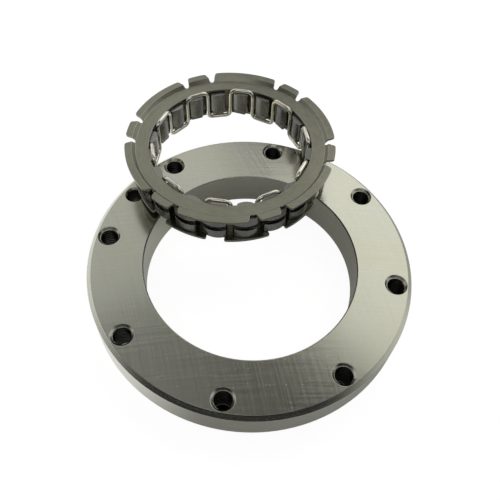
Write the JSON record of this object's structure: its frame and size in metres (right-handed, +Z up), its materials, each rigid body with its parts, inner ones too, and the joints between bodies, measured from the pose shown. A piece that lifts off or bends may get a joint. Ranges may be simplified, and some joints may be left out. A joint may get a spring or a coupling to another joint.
{
  "type": "sprag clutch",
  "caption": "Sprag clutch of a starter drive: a thick drilled outer race with a loose caged ring of sprags and their meander spring lying on it.",
  "frame": {"origin": "centre of the race's bore, in the race's bottom face", "axes": "+Z up along the race's bore axis, from the bottom face to the face that the caged sprags lie on; the caged set lies towards +Y"},
  "size_m": [0.12, 0.1447, 0.0328],
  "materials": {
    "race_steel": "ground and lapped",
    "cage_steel": "satin stamped steel",
    "sprag_steel": "dark polished bearing steel",
    "spring_wire": "bright drawn wire"
  },
  "bodies": {
    "outer_race": {"outer_race": "race_steel"},
    "cage_set": {"sprag_cage": "cage_steel", "meander_spring": "spring_wire"},
    "sprag_01": {"sprag_01": "sprag_steel"},
    "sprag_02": {"sprag_02": "sprag_steel"},
    "sprag_03": {"sprag_03": "sprag_steel"},
    "sprag_04": {"sprag_04": "sprag_steel"},
    "sprag_05": {"sprag_05": "sprag_steel"},
    "sprag_06": {"sprag_06": "sprag_steel"},
    "sprag_07": {"sprag_07": "sprag_steel"},
    "sprag_08": {"sprag_08": "sprag_steel"},
    "sprag_09": {"sprag_09": "sprag_steel"},
    "sprag_10": {"sprag_10": "sprag_steel"},
    "sprag_11": {"sprag_11": "sprag_steel"},
    "sprag_12": {"sprag_12": "sprag_steel"},
    "sprag_13": {"sprag_13": "sprag_steel"},
    "sprag_14": {"sprag_14": "sprag_steel"},
    "sprag_15": {"sprag_15": "sprag_steel"},
    "sprag_16": {"sprag_16": "sprag_steel"},
    "sprag_17": {"sprag_17": "sprag_steel"},
    "sprag_18": {"sprag_18": "sprag_steel"},
    "sprag_19": {"sprag_19": "sprag_steel"},
    "sprag_20": {"sprag_20": "sprag_steel"}
  },
  "joints": [
    {"name": "cage_lift", "type": "slide", "parent": "outer_race", "child": "cage_set", "axis": [0, 0, 1], "range_m": [0, 0.03]},
    {"name": "sprag_01_rock", "type": "hinge", "parent": "cage_set", "child": "sprag_01", "pos_m": [0.02053, 0.05212, 0.02309], "axis": [-0.026, 0.0533, 0.9982], "range_deg": [0, 6], "stiffness_Nm_per_rad": 0.002, "springref_deg": -5.73},
    {"name": "sprag_02_rock", "type": "hinge", "parent": "cage_set", "child": "sprag_02", "pos_m": [0.01631, 0.06171, 0.02247], "axis": [-0.026, 0.0533, 0.9982], "range_deg": [0, 6], "stiffness_Nm_per_rad": 0.002, "springref_deg": -5.73},
    {"name": "sprag_03_rock", "type": "hinge", "parent": "cage_set", "child": "sprag_03", "pos_m": [0.00933, 0.06952, 0.02187], "axis": [-0.026, 0.0533, 0.9982], "range_deg": [0, 6], "stiffness_Nm_per_rad": 0.002, "springref_deg": -5.73},
    {"name": "sprag_04_rock", "type": "hinge", "parent": "cage_set", "child": "sprag_04", "pos_m": [0.00027, 0.0748, 0.02136], "axis": [-0.026, 0.0533, 0.9982], "range_deg": [0, 6], "stiffness_Nm_per_rad": 0.002, "springref_deg": -5.73},
    {"name": "sprag_05_rock", "type": "hinge", "parent": "cage_set", "child": "sprag_05", "pos_m": [-0.00998, 0.07702, 0.02097], "axis": [-0.026, 0.0533, 0.9982], "range_deg": [0, 6], "stiffness_Nm_per_rad": 0.002, "springref_deg": -5.73},
    {"name": "sprag_06_rock", "type": "hinge", "parent": "cage_set", "child": "sprag_06", "pos_m": [-0.02042, 0.07596, 0.02075], "axis": [-0.026, 0.0533, 0.9982], "range_deg": [0, 6], "stiffness_Nm_per_rad": 0.002, "springref_deg": -5.73},
    {"name": "sprag_07_rock", "type": "hinge", "parent": "cage_set", "child": "sprag_07", "pos_m": [-0.03003, 0.07174, 0.02073], "axis": [-0.026, 0.0533, 0.9982], "range_deg": [0, 6], "stiffness_Nm_per_rad": 0.002, "springref_deg": -5.73},
    {"name": "sprag_08_rock", "type": "hinge", "parent": "cage_set", "child": "sprag_08", "pos_m": [-0.03786, 0.06475, 0.0209], "axis": [-0.026, 0.0533, 0.9982], "range_deg": [0, 6], "stiffness_Nm_per_rad": 0.002, "springref_deg": -5.73},
    {"name": "sprag_09_rock", "type": "hinge", "parent": "cage_set", "child": "sprag_09", "pos_m": [-0.04316, 0.0557, 0.02124], "axis": [-0.026, 0.0533, 0.9982], "range_deg": [0, 6], "stiffness_Nm_per_rad": 0.002, "springref_deg": -5.73},
    {"name": "sprag_10_rock", "type": "hinge", "parent": "cage_set", "child": "sprag_10", "pos_m": [-0.04539, 0.04545, 0.02173], "axis": [-0.026, 0.0533, 0.9982], "range_deg": [0, 6], "stiffness_Nm_per_rad": 0.002, "springref_deg": -5.73},
    {"name": "sprag_11_rock", "type": "hinge", "parent": "cage_set", "child": "sprag_11", "pos_m": [-0.04435, 0.03502, 0.02232], "axis": [-0.026, 0.0533, 0.9982], "range_deg": [0, 6], "stiffness_Nm_per_rad": 0.002, "springref_deg": -5.73},
    {"name": "sprag_12_rock", "type": "hinge", "parent": "cage_set", "child": "sprag_12", "pos_m": [-0.04013, 0.02543, 0.02294], "axis": [-0.026, 0.0533, 0.9982], "range_deg": [0, 6], "stiffness_Nm_per_rad": 0.002, "springref_deg": -5.73},
    {"name": "sprag_13_rock", "type": "hinge", "parent": "cage_set", "child": "sprag_13", "pos_m": [-0.03315, 0.01761, 0.02354], "axis": [-0.026, 0.0533, 0.9982], "range_deg": [0, 6], "stiffness_Nm_per_rad": 0.002, "springref_deg": -5.73},
    {"name": "sprag_14_rock", "type": "hinge", "parent": "cage_set", "child": "sprag_14", "pos_m": [-0.02409, 0.01234, 0.02406], "axis": [-0.026, 0.0533, 0.9982], "range_deg": [0, 6], "stiffness_Nm_per_rad": 0.002, "springref_deg": -5.73},
    {"name": "sprag_15_rock", "type": "hinge", "parent": "cage_set", "child": "sprag_15", "pos_m": [-0.01384, 0.01012, 0.02444], "axis": [-0.026, 0.0533, 0.9982], "range_deg": [0, 6], "stiffness_Nm_per_rad": 0.002, "springref_deg": -5.73},
    {"name": "sprag_16_rock", "type": "hinge", "parent": "cage_set", "child": "sprag_16", "pos_m": [-0.0034, 0.01117, 0.02466], "axis": [-0.026, 0.0533, 0.9982], "range_deg": [0, 6], "stiffness_Nm_per_rad": 0.002, "springref_deg": -5.73},
    {"name": "sprag_17_rock", "type": "hinge", "parent": "cage_set", "child": "sprag_17", "pos_m": [0.00621, 0.0154, 0.02468], "axis": [-0.026, 0.0533, 0.9982], "range_deg": [0, 6], "stiffness_Nm_per_rad": 0.002, "springref_deg": -5.73},
    {"name": "sprag_18_rock", "type": "hinge", "parent": "cage_set", "child": "sprag_18", "pos_m": [0.01404, 0.02238, 0.02451], "axis": [-0.026, 0.0533, 0.9982], "range_deg": [0, 6], "stiffness_Nm_per_rad": 0.002, "springref_deg": -5.73},
    {"name": "sprag_19_rock", "type": "hinge", "parent": "cage_set", "child": "sprag_19", "pos_m": [0.01934, 0.03144, 0.02417], "axis": [-0.026, 0.0533, 0.9982], "range_deg": [0, 6], "stiffness_Nm_per_rad": 0.002, "springref_deg": -5.73},
    {"name": "sprag_20_rock", "type": "hinge", "parent": "cage_set", "child": "sprag_20", "pos_m": [0.02157, 0.04169, 0.02368], "axis": [-0.026, 0.0533, 0.9982], "range_deg": [0, 6], "stiffness_Nm_per_rad": 0.002, "springref_deg": -5.73}
  ],
  "couplings": [
    {"joint": "sprag_02_rock", "follows": "sprag_01_rock", "ratio": 1},
    {"joint": "sprag_03_rock", "follows": "sprag_01_rock", "ratio": 1},
    {"joint": "sprag_04_rock", "follows": "sprag_01_rock", "ratio": 1},
    {"joint": "sprag_05_rock", "follows": "sprag_01_rock", "ratio": 1},
    {"joint": "sprag_06_rock", "follows": "sprag_01_rock", "ratio": 1},
    {"joint": "sprag_07_rock", "follows": "sprag_01_rock", "ratio": 1},
    {"joint": "sprag_08_rock", "follows": "sprag_01_rock", "ratio": 1},
    {"joint": "sprag_09_rock", "follows": "sprag_01_rock", "ratio": 1},
    {"joint": "sprag_10_rock", "follows": "sprag_01_rock", "ratio": 1},
    {"joint": "sprag_11_rock", "follows": "sprag_01_rock", "ratio": 1},
    {"joint": "sprag_12_rock", "follows": "sprag_01_rock", "ratio": 1},
    {"joint": "sprag_13_rock", "follows": "sprag_01_rock", "ratio": 1},
    {"joint": "sprag_14_rock", "follows": "sprag_01_rock", "ratio": 1},
    {"joint": "sprag_15_rock", "follows": "sprag_01_rock", "ratio": 1},
    {"joint": "sprag_16_rock", "follows": "sprag_01_rock", "ratio": 1},
    {"joint": "sprag_17_rock", "follows": "sprag_01_rock", "ratio": 1},
    {"joint": "sprag_18_rock", "follows": "sprag_01_rock", "ratio": 1},
    {"joint": "sprag_19_rock", "follows": "sprag_01_rock", "ratio": 1},
    {"joint": "sprag_20_rock", "follows": "sprag_01_rock", "ratio": 1}
  ]
}
